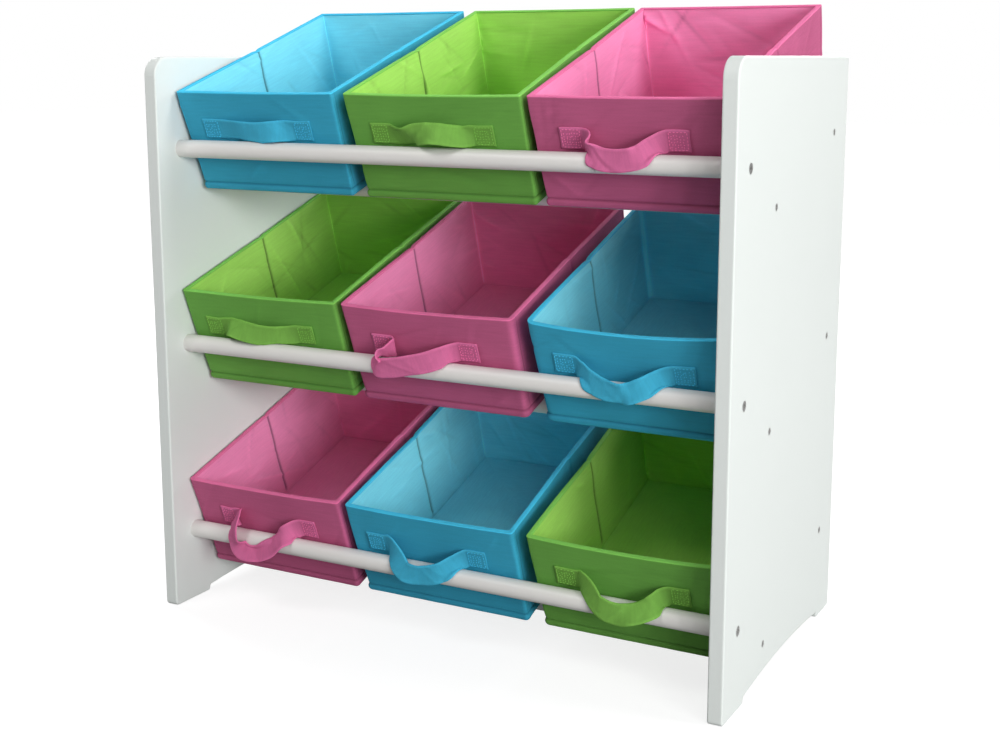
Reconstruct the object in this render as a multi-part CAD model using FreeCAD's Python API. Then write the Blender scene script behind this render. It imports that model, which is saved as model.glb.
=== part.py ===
"""Toy storage organizer: two side panels, nine rods and nine fabric bins.

Frame: millimetres, +Z up, +Y from the front to the back, +X to the right of
someone who faces the front. The origin is on the floor, under the middle of
the panels. Every row of bins leans forward: a bin lies on a support rod and
a rear rod and stops short of a front rod, which crosses its front wall.

The rack is worked out from the bins: their size and clearances give the
spacing of the rods, and the rods give the outline of the panels.
"""
import FreeCAD, Part
import math
import os

from FreeCAD import Vector

os.makedirs("parts", exist_ok=True)

# ---------------------------------------------------------------------------
# Driving dimensions, in millimetres and degrees
# ---------------------------------------------------------------------------
# Layout
ROWS = ("bottom", "middle", "top")
COLUMNS = ("left", "centre", "right")
row_pitch = 212.0              # from one row up to the next
row_tilt = 18.0                # a bin's floor against the horizontal
lowest_bin_height = 34.5       # front edge of the lowest floors, above the ground
bin_gap = 10.5                 # between two bins of a row
bin_side_gap = 2.5             # between an outer bin and the panel beside it

# Side panels
panel_thickness = 15.0
panel_over_front_rod = 96.5    # panel top above the highest front rod
front_rod_inset = 37.0         # panel's front edge to the front rods
rear_rod_inset = 46.0          # panel's rear edge to the rear rods
panel_front_corner = 20.0      # radius of the upper front corner
panel_rear_corner = 4.0        # radius of the upper rear corner
panel_edge_round = 1.8         # eased edges of both faces
front_foot_length = 58.0
rear_foot_length = 46.0
foot_step = 6.0                # the arch's ends above the ground
arch_rise = 6.0                # the arch's middle above its ends
foot_corner = 4.0              # radius of the outer corners of the feet

# Rods
rod_diameter = 19.0
support_rod_from_front = 44.6  # along a bin's floor, from its front edge
rear_rod_from_back = 30.0      # along a bin's floor, from its rear edge
front_rod_on_wall = 52.3       # above a bin's floor, square to it
front_rod_gap = 2.5            # between a front rod and the front wall
seat_gap = 0.3                 # between a bin's floor and the rods under it

# Bins
bin_width = 198.0              # outside, at the rim
bin_length = 284.0             # outside, at the rim
bin_height = 113.0             # square to the floor
end_flare = 7.0                # front and rear wall, rim beyond floor
side_flare = 3.0               # each side wall, rim beyond floor
bin_corner = 8.0               # outer radius of the upright corners
cover_thickness = 1.5          # outer fabric, turned in over the rim
wall_board_thickness = 2.0
lining_thickness = 1.0
fold_gap = 3.0                 # crease between the two boards of a side wall
board_corner_gap = 1.0         # from a wall board to the rounded corner
base_board_thickness = 2.5
base_board_clearance = 1.5     # from the base board to the lining

# Sideways place of each bin, as it was put down: row, then left to right
BIN_SHIFT = {
    "top": (2.0, 5.0, 1.0),
    "middle": (0.0, -4.0, 0.0),
    "bottom": (-1.0, -3.0, 1.0),
}

# Handles: a strap sewn to the front wall by two square ends
strap_width = 22.0
strap_thickness = 2.0
strap_end_length = 24.0        # sewn part, along the strap
handle_span = 112.0            # between the middles of the sewn ends
handle_offset = -4.0           # the handle's middle from the bin's middle
handle_over_rod = 1.4          # from a front rod's top to the sewn ends, along the wall
arched_handle_reach = 16.0     # how far a strap that stays over the rod stands out
hanging_handle_drop = 22.0     # how far a strap in front of the rod hangs down
hanging_handle_clearance = 5.0 # between that strap and the rod behind it
STRAP_STEPS = 6                # sections from a sewn end to the handle's middle
ARCHED_HANDLES = (("top", "left"), ("top", "centre"), ("middle", "left"))

# Fasteners at the rod ends
bolt_diameter = 6.0            # through the panel into the front rods
bolt_head_diameter = 10.0
bolt_head_height = 3.0
bolt_length = 42.0
bolt_socket_width = 4.0        # hexagon across flats
bolt_socket_depth = 2.2
insert_diameter = 10.0         # threaded sleeve in the front rods' ends
insert_length = 15.0
insert_depth = 1.0             # its mouth below the rod's end
screw_diameter = 4.0           # through the panel into the other rods
screw_head_diameter = 7.0
screw_head_height = 2.4
screw_length = 45.0
screw_cross_length = 4.0       # recess, end to end
screw_cross_width = 0.9
screw_cross_depth = 1.0
fastener_clearance = 0.15      # around shanks, heads and sleeves
hole_end_room = 2.0            # bore beyond a fastener's tip

# Modelling allowances
overcut = 1.0                  # how far a cutting shape runs past the face it opens
same_point = 0.001             # ends nearer than this meet, and edges thinner lie in a face

# ---------------------------------------------------------------------------
# Sizes that follow from them
# ---------------------------------------------------------------------------
rod_radius = rod_diameter / 2
tilt = math.radians(row_tilt)
wall_thickness = cover_thickness + wall_board_thickness + lining_thickness
floor_length = bin_length - 2 * end_flare
floor_width = bin_width - 2 * side_flare
front_lean = math.atan2(end_flare, bin_height)

bin_pitch = bin_width + bin_gap
inner_width = len(COLUMNS) * bin_width + (len(COLUMNS) - 1) * bin_gap + 2 * bin_side_gap
rack_width = inner_width + 2 * panel_thickness


def from_floor(along, above):
    """Return a point's way back and up from the front edge of a bin's floor."""
    back = along * math.cos(tilt) - above * math.sin(tilt)
    up = along * math.sin(tilt) + above * math.cos(tilt)
    return back, up


# Each row's rods, from the front edge of its floors: (back, up)
rod_to_floor = rod_radius + seat_gap
rod_to_wall = (rod_radius + front_rod_gap) / math.cos(front_lean)
front_rod_along = -front_rod_on_wall * math.tan(front_lean) - rod_to_wall
front_rod_up_wall = (front_rod_on_wall / math.cos(front_lean)
                     + (rod_radius + front_rod_gap) * math.tan(front_lean))
handle_height = front_rod_up_wall + rod_radius + handle_over_rod + strap_width / 2
ROD_PLACES = {
    "front": from_floor(front_rod_along, front_rod_on_wall),
    "support": from_floor(support_rod_from_front, -rod_to_floor),
    "rear": from_floor(floor_length - rear_rod_from_back, -rod_to_floor),
}

rack_depth = front_rod_inset + ROD_PLACES["rear"][0] - ROD_PLACES["front"][0] + rear_rod_inset
panel_front = -rack_depth / 2
panel_rear = rack_depth / 2
floor_front = panel_front + front_rod_inset - ROD_PLACES["front"][0]
row_heights = {row: lowest_bin_height + i * row_pitch for i, row in enumerate(ROWS)}
panel_height = row_heights[ROWS[-1]] + ROD_PLACES["front"][1] + panel_over_front_rod


def rod_place(row, kind):
    """Return the Y and Z of a rod's axis."""
    back, up = ROD_PLACES[kind]
    return floor_front + back, row_heights[row] + up


def bin_centre(row, column):
    """Return the X of a bin's middle."""
    index = COLUMNS.index(column)
    middle = (len(COLUMNS) - 1) / 2
    return (index - middle) * bin_pitch + BIN_SHIFT[row][index]


def placed_bin_piece(shape, row, column):
    """Move a piece from a bin's own frame (X, along and above its floor) to its place."""
    placed = shape.copy()
    placed.rotate(Vector(0, 0, 0), Vector(1, 0, 0), row_tilt)
    placed.translate(Vector(bin_centre(row, column), floor_front, row_heights[row]))
    return placed


# ---------------------------------------------------------------------------
# Fasteners, drawn along +X from the panel's outer face, which is X = 0
# ---------------------------------------------------------------------------
ALONG = Vector(1, 0, 0)


def countersunk(radius, head_radius, head_height, length):
    """A cone under the panel's face and the round shank behind it."""
    head = Part.makeCone(head_radius, radius, head_height, Vector(0, 0, 0), ALONG)
    shank = Part.makeCylinder(radius, length - head_height, Vector(head_height, 0, 0), ALONG)
    return head.fuse(shank).removeSplitter()


def connector_bolt():
    """A countersunk bolt with a hexagon socket."""
    bolt = countersunk(bolt_diameter / 2, bolt_head_diameter / 2, bolt_head_height, bolt_length)
    corner = bolt_socket_width / math.sqrt(3)
    turns = [math.radians(60 * i) for i in range(7)]
    points = [Vector(0, corner * math.cos(a), corner * math.sin(a)) for a in turns]
    socket = Part.Face(Part.makePolygon(points)).extrude(Vector(bolt_socket_depth, 0, 0))
    return bolt.cut(socket)


def panel_screw():
    """A countersunk wood screw with a cross recess."""
    screw = countersunk(screw_diameter / 2, screw_head_diameter / 2, screw_head_height, screw_length)
    for size_y, size_z in ((screw_cross_length, screw_cross_width),
                           (screw_cross_width, screw_cross_length)):
        slot = Part.makeBox(screw_cross_depth, size_y, size_z, Vector(0, -size_y / 2, -size_z / 2))
        screw = screw.cut(slot)
    return screw


def threaded_insert():
    """The sleeve that a connector bolt screws into."""
    start = panel_thickness + insert_depth
    outer = Part.makeCylinder(insert_diameter / 2, insert_length, Vector(start, 0, 0), ALONG)
    bore = Part.makeCylinder(bolt_diameter / 2 + fastener_clearance, insert_length,
                             Vector(start, 0, 0), ALONG)
    return outer.cut(bore)


def fastener_hole(kind):
    """The clearance for a rod's fastener, through the panel and into the rod."""
    room = fastener_clearance
    if kind == "front":
        hole = countersunk(bolt_diameter / 2 + room, bolt_head_diameter / 2 + room,
                           bolt_head_height, bolt_length + hole_end_room)
        pocket = Part.makeCylinder(insert_diameter / 2 + room, insert_depth + insert_length,
                                   Vector(panel_thickness, 0, 0), ALONG)
        return hole.fuse(pocket)
    return countersunk(screw_diameter / 2 + room, screw_head_diameter / 2 + room,
                       screw_head_height, screw_length + hole_end_room)


def at_rod_end(shape, row, kind, side):
    """Place a fastener or its hole at the left (-1) or right (+1) end of a rod."""
    y, z = rod_place(row, kind)
    placed = shape.copy()
    if side > 0:
        placed.rotate(Vector(0, 0, 0), Vector(0, 0, 1), 180)
    placed.translate(Vector(side * rack_width / 2, y, z))
    return placed


# ---------------------------------------------------------------------------
# Side panels
# ---------------------------------------------------------------------------
def arc_between(centre_y, centre_z, radius, start_degrees, end_degrees):
    """An arc in the panel's plane, from one angle to the other."""
    angles = [math.radians(a) for a in (start_degrees, (start_degrees + end_degrees) / 2, end_degrees)]
    points = [Vector(0, centre_y + radius * math.cos(a), centre_z + radius * math.sin(a)) for a in angles]
    return Part.Arc(*points).toShape()


def panel_outline():
    """The panel's outline: an upright rectangle on two feet with a shallow arch between."""
    step = foot_step / 2
    arch_front = panel_front + front_foot_length + step
    arch_rear = panel_rear - rear_foot_length - step
    # The coves at the feet stop short of level, at the arch's own slope
    span = arch_rear - arch_front
    slope = 2 * math.atan(2 * arch_rise / span)
    arch_radius = (span / 2 + step * math.sin(slope)) / math.sin(slope)
    arch_middle = (arch_front + arch_rear) / 2
    arch_centre = step + step * math.cos(slope) - arch_radius * math.cos(slope)
    lean = math.degrees(slope)
    arcs = [
        arc_between(panel_front + foot_corner, foot_corner, foot_corner, 180, 270),
        arc_between(arch_front - 2 * step, step, step, 270, 360),
        arc_between(arch_front, step, step, 180, 90 + lean),
        arc_between(arch_middle, arch_centre, arch_radius, 90 + lean, 90 - lean),
        arc_between(arch_rear, step, step, 90 - lean, 0),
        arc_between(arch_rear + 2 * step, step, step, 180, 270),
        arc_between(panel_rear - foot_corner, foot_corner, foot_corner, 270, 360),
        arc_between(panel_rear - panel_rear_corner, panel_height - panel_rear_corner,
                    panel_rear_corner, 0, 90),
        arc_between(panel_front + panel_front_corner, panel_height - panel_front_corner,
                    panel_front_corner, 90, 180),
    ]
    edges = []
    for i, arc in enumerate(arcs):
        edges.append(arc)
        end = arc.valueAt(arc.LastParameter)
        following = arcs[(i + 1) % len(arcs)]
        start = following.valueAt(following.FirstParameter)
        if end.distanceToPoint(start) > same_point:
            edges.append(Part.LineSegment(end, start).toShape())
    return Part.Wire(edges)


def side_panel(side):
    """A painted board with eased edges and countersunk holes for the nine rods."""
    board = Part.Face(panel_outline()).extrude(Vector(panel_thickness, 0, 0))
    rims = [edge for edge in board.Edges if edge.BoundBox.XLength < same_point]
    board = board.makeFillet(panel_edge_round, rims)
    board.translate(Vector(side * rack_width / 2 - (panel_thickness if side > 0 else 0), 0, 0))
    for row in ROWS:
        for kind in ROD_PLACES:
            board = board.cut(at_rod_end(fastener_hole(kind), row, kind, side))
    return board


# ---------------------------------------------------------------------------
# Rods
# ---------------------------------------------------------------------------
def rod(row, kind):
    """A round bar from panel to panel, bored at both ends for its fasteners."""
    y, z = rod_place(row, kind)
    bar = Part.makeCylinder(rod_radius, inner_width, Vector(-inner_width / 2, y, z), ALONG)
    for side in (-1, 1):
        bar = bar.cut(at_rod_end(fastener_hole(kind), row, kind, side))
    return bar


# ---------------------------------------------------------------------------
# Bins, in their own frame: X across, Y along the floor, Z square to it
# ---------------------------------------------------------------------------
def rounded_rectangle(half_x, low_y, high_y, radius, z):
    """A closed outline with round corners, level at z."""
    x = half_x - radius
    corners = [(x, high_y - radius, 0), (-x, high_y - radius, 90), (-x, low_y + radius, 180),
               (x, low_y + radius, 270)]
    arcs = []
    for centre_x, centre_y, start in corners:
        angles = [math.radians(start + turn) for turn in (0, 45, 90)]
        points = [Vector(centre_x + radius * math.cos(a), centre_y + radius * math.sin(a), z)
                  for a in angles]
        arcs.append(Part.Arc(*points).toShape())
    edges = []
    for arc, following in zip(arcs, arcs[1:] + arcs[:1]):
        edges.append(arc)
        end = arc.valueAt(arc.LastParameter)
        edges.append(Part.LineSegment(end, following.valueAt(following.FirstParameter)).toShape())
    return Part.Wire(edges)


def flared_block(inset, low, high):
    """The bin's flared form drawn in by inset, solid from one height to the other."""
    outlines = []
    for z in (low, high):
        share = z / bin_height
        half_x = floor_width / 2 + share * side_flare - inset
        front = -share * end_flare + inset
        rear = floor_length + share * end_flare - inset
        outlines.append(rounded_rectangle(half_x, front, rear, bin_corner - inset, z))
    return Part.makeLoft(outlines, True, True)


def bin_cover():
    """The outer fabric: floor, four walls, and a rim turned in over the boards and lining."""
    rim_low = bin_height - cover_thickness
    cover = flared_block(0, 0, bin_height)
    cover = cover.cut(flared_block(cover_thickness, cover_thickness, rim_low))
    return cover.cut(flared_block(wall_thickness, rim_low - cover_thickness, bin_height + overcut))


def bin_lining():
    """The inner fabric, from under the turned rim down and over the floor."""
    outside = cover_thickness + wall_board_thickness
    lining = flared_block(outside, cover_thickness, bin_height - cover_thickness)
    return lining.cut(flared_block(wall_thickness, cover_thickness + lining_thickness, bin_height))


def wall_boards():
    """Six stiffeners between cover and lining; the side walls' are halved at a crease."""
    low = cover_thickness
    high = bin_height - cover_thickness
    ring = flared_block(cover_thickness, low, high)
    inside = flared_block(cover_thickness + wall_board_thickness, low - overcut, high + overcut)
    ring = ring.cut(inside)
    corner = bin_corner + board_corner_gap
    flat_x = floor_width / 2 - corner
    outer_x = bin_width / 2
    middle = floor_length / 2
    half_fold = fold_gap / 2
    reach = 2 * end_flare + wall_thickness
    zones = [
        (-flat_x, flat_x, -end_flare, reach - end_flare),
        (-flat_x, flat_x, floor_length - reach + end_flare, floor_length + end_flare),
    ]
    for x_low, x_high in ((-outer_x, 0), (0, outer_x)):
        zones.append((x_low, x_high, corner, middle - half_fold))
        zones.append((x_low, x_high, middle + half_fold, floor_length - corner))
    boards = []
    for x_low, x_high, y_low, y_high in zones:
        zone = Part.makeBox(x_high - x_low, y_high - y_low, bin_height, Vector(x_low, y_low, 0))
        boards.extend(ring.common(zone).Solids)
    return Part.makeCompound(boards)


def base_board():
    """The loose board on the lining's floor."""
    low = cover_thickness + lining_thickness
    return flared_block(wall_thickness + base_board_clearance, low, low + base_board_thickness)


def strap_route(arched):
    """Half of a handle's centre line, from a sewn end to the middle: (across, out, up)."""
    start = handle_span / 2 - strap_end_length / 2
    flat = strap_thickness / 2
    route = []
    if arched:
        for i in range(STRAP_STEPS + 1):
            turn = math.pi / 2 * i / STRAP_STEPS
            out = flat + (arched_handle_reach - flat) * math.sin(turn) ** 2
            route.append((start * (1 - i / STRAP_STEPS), out, handle_height))
        return route
    front = front_rod_gap + rod_diameter + hanging_handle_clearance + flat
    shoulder = start - (front - flat) / 2
    for i in range(STRAP_STEPS):
        turn = math.pi / 2 * i / STRAP_STEPS
        across = start - (start - shoulder) * (1 - math.cos(turn))
        route.append((across, flat + (front - flat) * math.sin(turn), handle_height))
    for i in range(STRAP_STEPS + 1):
        share = i / STRAP_STEPS
        sag = hanging_handle_drop * (1 - math.cos(math.pi * share)) / 2
        route.append((shoulder * (1 - share), front, handle_height - sag))
    return route


def handle(arched):
    """A flat strap along its route, with both sewn ends flat on the front wall."""
    half = strap_route(arched)
    centres = [(-across, out, up) for across, out, up in half]
    centres += [(across, out, up) for across, out, up in reversed(half[:-1])]
    outlines = []
    for i, (across, out, up) in enumerate(centres):
        before = centres[max(i - 1, 0)]
        after = centres[min(i + 1, len(centres) - 1)]
        run_x = after[0] - before[0]
        run_out = after[1] - before[1]
        length = math.hypot(run_x, run_out)
        if i in (0, len(centres) - 1):
            run_x, run_out, length = 1.0, 0.0, 1.0
        half_x = -run_out / length * strap_thickness / 2
        half_out = run_x / length * strap_thickness / 2
        low = up - strap_width / 2
        high = up + strap_width / 2
        corners = [(across - half_x, out - half_out, low), (across + half_x, out + half_out, low),
                   (across + half_x, out + half_out, high), (across - half_x, out - half_out, high)]
        points = [Vector(x, -y, z) for x, y, z in corners]
        outlines.append(Part.makePolygon(points + points[:1]))
    strap = Part.makeLoft(outlines, True, True)
    start = handle_span / 2 - strap_end_length / 2
    for end in (-start - strap_end_length, start):
        pad = Part.makeBox(strap_end_length, strap_thickness, strap_width,
                           Vector(end, -strap_thickness, handle_height - strap_width / 2))
        strap = strap.fuse(pad)
    strap = strap.removeSplitter()
    strap.translate(Vector(handle_offset, 0, 0))
    strap.rotate(Vector(0, 0, 0), Vector(1, 0, 0), math.degrees(front_lean))
    return strap


# ---------------------------------------------------------------------------
# The whole organizer, node by node
# ---------------------------------------------------------------------------
def build():
    """Return every node's shape by name."""
    nodes = {"left_side_panel": side_panel(-1), "right_side_panel": side_panel(1)}
    bolts, inserts, screws = [], [], []
    for row in ROWS:
        for kind in ROD_PLACES:
            nodes[f"{row}_{kind}_rod"] = rod(row, kind)
            for side in (-1, 1):
                if kind == "front":
                    bolts.append(at_rod_end(connector_bolt(), row, kind, side))
                    inserts.append(at_rod_end(threaded_insert(), row, kind, side))
                else:
                    screws.append(at_rod_end(panel_screw(), row, kind, side))
    nodes["connector_bolts"] = Part.makeCompound(bolts)
    nodes["threaded_inserts"] = Part.makeCompound(inserts)
    nodes["panel_screws"] = Part.makeCompound(screws)

    pieces = {"cover": bin_cover(), "lining": bin_lining(), "wall_boards": wall_boards(),
              "base_board": base_board()}
    handles = {arched: handle(arched) for arched in (True, False)}
    for row in ROWS:
        for column in COLUMNS:
            pieces["handle"] = handles[(row, column) in ARCHED_HANDLES]
            for piece, shape in pieces.items():
                nodes[f"{row}_{column}_bin_{piece}"] = placed_bin_piece(shape, row, column)
    return nodes


NODES = build()
for name, shape in NODES.items():
    shape.exportStep(f"parts/{name}.step")
print(f"{len(NODES)} nodes, rack {rack_width:.1f} x {rack_depth:.1f} x {panel_height:.1f} mm")
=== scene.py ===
# %% [markdown]
# # A toy organizer: a white rack with nine fabric bins
#
# The packed model already holds the organizer's construction: two painted side
# panels, nine rods, their fasteners and nine bins as plain solids. This lesson
# dresses it. The rack keeps its solids and gets paint. Every bin is made anew
# from curved surfaces, because cloth over cardboard is never quite flat.

# %% Load the model
import math

import bmesh
import bpy
import numpy as np
from mathutils import Matrix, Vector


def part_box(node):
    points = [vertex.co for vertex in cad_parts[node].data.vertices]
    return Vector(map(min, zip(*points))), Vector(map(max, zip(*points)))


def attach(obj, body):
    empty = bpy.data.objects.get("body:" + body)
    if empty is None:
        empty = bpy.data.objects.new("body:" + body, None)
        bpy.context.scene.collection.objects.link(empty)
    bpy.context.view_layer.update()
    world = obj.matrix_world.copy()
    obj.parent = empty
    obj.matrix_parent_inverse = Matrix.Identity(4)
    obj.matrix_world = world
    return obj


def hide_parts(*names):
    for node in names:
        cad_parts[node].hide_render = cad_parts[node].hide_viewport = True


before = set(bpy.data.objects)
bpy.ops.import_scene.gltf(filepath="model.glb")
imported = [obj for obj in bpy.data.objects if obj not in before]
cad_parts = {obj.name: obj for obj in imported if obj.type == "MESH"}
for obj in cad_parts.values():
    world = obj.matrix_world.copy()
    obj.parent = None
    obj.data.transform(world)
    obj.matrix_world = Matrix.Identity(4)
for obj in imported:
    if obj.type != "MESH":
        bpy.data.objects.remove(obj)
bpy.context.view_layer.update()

# %% [markdown]
# ## The bins' own frame
#
# All bins are alike, so each is shaped once in its own frame, in millimetres:
# X goes across, Y along the floor from its front edge, and Z up, square to the
# floor. Placing a bin then means tilting that frame forward and moving it to
# where the packed cover lies. Working in a piece's own frame keeps the formulas
# short: a wall's height is simply Z, however the bin is tilted in the rack.

# %% Sizes of a bin, and the way from its frame to the rack's
MM = 0.001
ROWS = ("bottom", "middle", "top")
COLUMNS = ("left", "centre", "right")
ROW_TILT = math.radians(18)
BIN_WIDTH = 198.0
BIN_LENGTH = 284.0
BIN_HEIGHT = 113.0
SIDE_FLARE = 3.0
END_FLARE = 7.0
FLOOR_LENGTH = BIN_LENGTH - 2 * END_FLARE
FLOOR_HALF_WIDTH = BIN_WIDTH / 2 - SIDE_FLARE
FRONT_LEAN = math.atan2(END_FLARE, BIN_HEIGHT)


def bin_origin(row, column):
    """Give the middle of a floor's front edge: the rim lies a known way in front of it."""
    low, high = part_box(f"{row}_{column}_bin_cover")
    rim_reach = END_FLARE * math.cos(ROW_TILT) + BIN_HEIGHT * math.sin(ROW_TILT)
    return np.array([(low.x + high.x) / 2, low.y + rim_reach * MM, low.z])


def into_rack(points, row, column):
    """Turn points about X by the row's tilt, scale them to metres and move them into place."""
    x, y, z = np.moveaxis(points, -1, 0)
    turned = np.stack([x, y * math.cos(ROW_TILT) - z * math.sin(ROW_TILT),
                       y * math.sin(ROW_TILT) + z * math.cos(ROW_TILT)], -1)
    return turned * MM + bin_origin(row, column)


for row_name in ROWS:
    print(row_name, "row's floors start at", *np.round(bin_origin(row_name, "left") / MM, 1), "mm")

# %% [markdown]
# ## Meshes from grids of points
#
# Every new piece here is a tube of some kind: rings of points, one after the
# other, closed round and closed at both ends. A bin's cover is such a tube that
# runs from the middle of the floor, out and up the wall, over the rim and back
# down between wall and board. The whole tube is one array, and so are its faces:
# each joins a point, its neighbour on the ring and the two on the next ring.


# %% Tubes of points into a mesh
def tube_faces(count, rows, columns):
    """Number the corners of the quads between neighbouring rings, and of each end's flat face."""
    ring = np.arange(columns)
    starts = np.arange(rows - 1)[:, None] * columns
    following = np.roll(ring, -1)
    corners = [starts + ring, starts + following, starts + columns + following, starts + columns + ring]
    quads = np.stack(corners, -1).reshape(-1, 4)
    offsets = np.arange(count)[:, None] * rows * columns
    ends = np.concatenate([offsets + ring[::-1], offsets + (rows - 1) * columns + ring])
    return (quads + offsets[:, :, None]).reshape(-1, 4), ends


def tube_mesh(name, points, lengths=None, shading_tone=None):
    """Make a closed mesh from rings of points, shaped (tubes, rings, points of a ring, 3).

    The map's first number runs round a ring and its second from ring to ring,
    both in metres of cloth, so that a weave keeps its scale on every wall. The
    shading tone tells a finish where the cloth is lighter (above 0) or darker
    (below 0); most of it is painted highlight and painted shade.
    """
    count, rows, columns, _ = points.shape
    quads, ends = tube_faces(count, rows, columns)
    mesh = bpy.data.meshes.new(name)
    mesh.from_pydata(points.reshape(-1, 3).tolist(), [], quads.tolist() + ends.tolist())
    if shading_tone is not None:
        shading_tones = mesh.attributes.new("shading_tone", "FLOAT", "POINT")
        shading_tones.data.foreach_set("value", np.tile(shading_tone.ravel(), count))
    if lengths is not None:
        around, onward = lengths
        cloth_map = mesh.uv_layers.new(name="cloth")
        step_on, step_round = np.mgrid[0:rows - 1, 0:columns]
        corner_round = np.stack([step_round, step_round + 1, step_round + 1, step_round], -1)
        corner_on = np.stack([step_on, step_on, step_on + 1, step_on + 1], -1)
        places = np.stack([around[corner_round], onward[corner_on]], -1) * MM
        flat_ends = np.zeros((2 * count * columns, 2))
        quad_places = np.tile(places.reshape(-1, 2), (count, 1))
        cloth_map.data.foreach_set("uv", np.concatenate([quad_places, flat_ends]).ravel())
    return mesh


print("two rings of four points make", len(tube_faces(1, 2, 4)[0]), "sides and two ends")

# %% [markdown]
# ## From a mesh to a piece of the organizer
#
# A tube whose rings shrink to a line still has all their points there. Merging
# them closes the skin, and its volume tells whether it faces outwards. The piece
# then rides on its bin, stands in for the packed solid of the same part, and
# says by its slot which pieces share a finish.

# %% Close a skin and put it on its bin
MERGE_DISTANCE = 0.004 * MM


def close_up(mesh):
    """Merge rings that have shrunk to a line, drop what fell flat, and turn the skin outwards."""
    shape = bmesh.new()
    shape.from_mesh(mesh)
    bmesh.ops.remove_doubles(shape, verts=shape.verts, dist=MERGE_DISTANCE)
    bmesh.ops.dissolve_degenerate(shape, dist=MERGE_DISTANCE, edges=shape.edges)
    if shape.calc_volume(signed=True) < 0:
        bmesh.ops.reverse_faces(shape, faces=shape.faces)
    shape.to_mesh(mesh)
    shape.free()
    mesh.shade_smooth()


def add_piece(name, mesh, material, body, stands_for):
    """Put a finished mesh into the scene, on its body, in the place of a packed node."""
    close_up(mesh)
    mesh.materials.append(material)
    piece = bpy.data.objects.new(name, mesh)
    bpy.context.scene.collection.objects.link(piece)
    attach(piece, body)
    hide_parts(*stands_for)
    return piece


print("points closer than", MERGE_DISTANCE / MM, "mm are merged")

# %% [markdown]
# ## Finishes as formulas
#
# A finish is a small program of nodes. Written as boxes and wires it is hard to
# read, so one class lets a wire be added, subtracted and multiplied like a
# number. Each pattern below then reads as a formula.


# %% Write shader maths as Python
class Signal:
    """A wire between nodes that takes + - and * as a number does."""

    def __init__(self, wiring, socket):
        self.wiring = wiring
        self.socket = socket

    def maths(self, operation, first, second):
        """Join two wires or numbers by a maths node."""
        return self.wiring.node("ShaderNodeMath", {"operation": operation}, {0: first, 1: second})

    def __add__(self, other):
        return self.maths("ADD", self, other)

    def __radd__(self, other):
        return self.maths("ADD", other, self)

    def __sub__(self, other):
        return self.maths("SUBTRACT", self, other)

    def __rsub__(self, other):
        return self.maths("SUBTRACT", other, self)

    def __mul__(self, other):
        return self.maths("MULTIPLY", self, other)

    def __rmul__(self, other):
        return self.maths("MULTIPLY", other, self)

    def larger(self, other):
        """Give whichever is larger, as either of two masks."""
        return self.maths("MAXIMUM", self, other)


print("a wire takes", *(name for name in vars(Signal) if name.strip("_") in ("add", "sub", "mul")))

# %% [markdown]
# ## One method for every node
#
# Any node is made in the same way: its kind, then its settings, then what goes
# into its sockets. A material adds a few habits of its own to that: noise at a
# scale, two colours blended, and a height turned into bumps. A pattern sits on
# the object's own coordinates, or on the map of the cloth.


# %% Make nodes, and build a material round its shader
class Wiring:
    """A tree of nodes, filled by one method."""

    def __init__(self, tree):
        self.tree = tree

    def node(self, kind, settings, inputs, output=0):
        """Make a node, set it up, feed it numbers or wires, and give one of its outputs."""
        made = self.tree.nodes.new(kind)
        for setting, value in settings.items():
            setattr(made, setting, value)
        for socket, value in inputs.items():
            if isinstance(value, Signal):
                self.tree.links.new(value.socket, made.inputs[socket])
            else:
                made.inputs[socket].default_value = value
        return Signal(self, made.outputs[output])


class Finish(Wiring):
    """A material under construction, around one Principled shader."""

    def __init__(self, name, **constants):
        self.material = bpy.data.materials.new(name)
        self.material.use_nodes = True
        super().__init__(self.material.node_tree)
        self.shader = self.tree.nodes["Principled BSDF"]
        for socket, value in constants.items():
            self.shader.inputs[socket.replace("_", " ")].default_value = value

    def feed(self, socket, signal):
        """Lead a wire to the shader."""
        self.tree.links.new(signal.socket, self.shader.inputs[socket])

    def coordinates(self, source):
        """Give the place on the object or on the cloth, as a source names it."""
        kind, settings, output = source
        return self.node(kind, settings, {}, output)

    def stretched(self, source, scale):
        """Give the source's coordinates, multiplied per axis."""
        return self.node("ShaderNodeMapping", {}, {"Vector": self.coordinates(source), "Scale": scale})

    def noise(self, source, scale, detail=2.0):
        """Give cloudy noise from 0 to 1, one cloud to each unit of the scaled coordinates."""
        place = self.stretched(source, scale)
        return self.node("ShaderNodeTexNoise", {}, {"Vector": place, "Scale": 1.0, "Detail": detail})

    def mix(self, share, first, second):
        """Blend two colours."""
        return self.node("ShaderNodeMix", {"data_type": "RGBA"}, {0: share, 6: first, 7: second}, 2)

    def bump(self, height, depth):
        """Raise and lower the surface by a height from 0 to 1 times a depth in metres."""
        self.feed("Normal", self.node("ShaderNodeBump", {}, {"Height": height, "Distance": depth}))


def tinted(colour, factor):
    """Give a colour made darker or lighter."""
    return tuple(min(1.0, factor * channel) for channel in colour[:3]) + (1,)


ON_OBJECT = ("ShaderNodeTexCoord", {}, "Object")
ON_CLOTH = ("ShaderNodeUVMap", {"uv_map": "cloth"}, 0)
print("patterns sit on", ON_OBJECT[2], "coordinates or on the map", ON_CLOTH[1]["uv_map"])

# %% [markdown]
# ## Paint, metal and card
#
# The panels and rods are wood under a satin lacquer. Lacquer is never one
# colour: it is a little thicker here and there, and it keeps the faint dimples
# of the spray gun. A soft cloud moves the colour by a few percent, and a finer
# one gives the dimples as bump. On the rods the clouds are stretched along the
# grain. The screws are zinc: metal with a cloudy roughness, so that no two
# heads catch the light alike. Scales are clouds to the metre, along X, Y and Z.

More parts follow.
